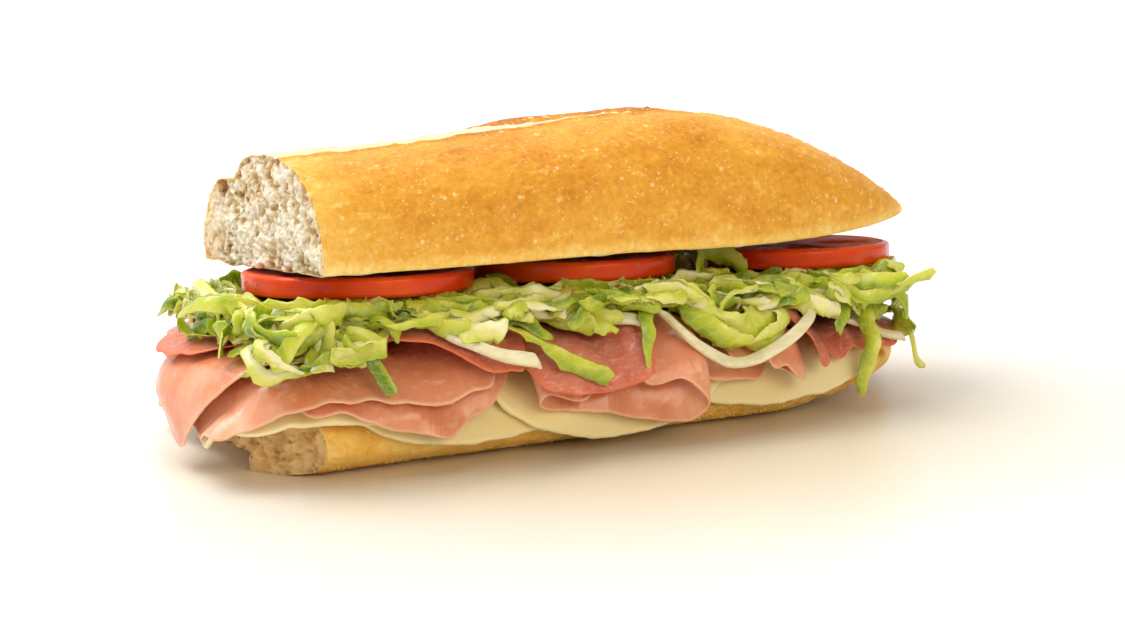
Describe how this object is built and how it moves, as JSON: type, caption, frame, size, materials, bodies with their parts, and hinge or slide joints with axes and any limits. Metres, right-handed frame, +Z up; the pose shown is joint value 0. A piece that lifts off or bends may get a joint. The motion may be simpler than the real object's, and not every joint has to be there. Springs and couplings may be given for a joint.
{
  "type": "submarine sandwich",
  "caption": "Half of a long submarine sandwich, cut across at one end, filled with cold cuts, cheese, shredded lettuce, onion and tomato slices.",
  "frame": {"origin": "on the flat underside of the bottom bread, in the middle of its width, about midway along the loaf", "axes": "+X along the loaf from the cut end to the rounded heel, -Y towards the side that shows the filling, +Z up"},
  "size_m": [0.2154, 0.0979, 0.0777],
  "materials": {
    "crust": "matt golden baked crust, with pale open crumb on the cut faces",
    "cheese": "smooth, slightly waxy",
    "ham": "moist, fine grained",
    "cured": "moist, marbled with fat",
    "onion": "wet, translucent",
    "lettuce": "waxy leaf with pale ribs",
    "tomato": "wet and glossy"
  },
  "bodies": {
    "root": {"bread_bottom": "crust", "bread_top": "crust", "cheese_1": "cheese", "cheese_2": "cheese", "cheese_3": "cheese", "cheese_4": "cheese", "ham_1": "ham", "ham_2": "ham", "ham_3": "ham", "ham_4": "ham", "ham_5": "ham", "ham_6": "ham", "cured_1": "cured", "cured_2": "cured", "cured_3": "cured", "onion_1": "onion", "onion_2": "onion", "onion_3": "onion", "onion_4": "onion", "lettuce": "lettuce", "tomato_1": "tomato", "tomato_2": "tomato", "tomato_3": "tomato"}
  },
  "joints": []
}
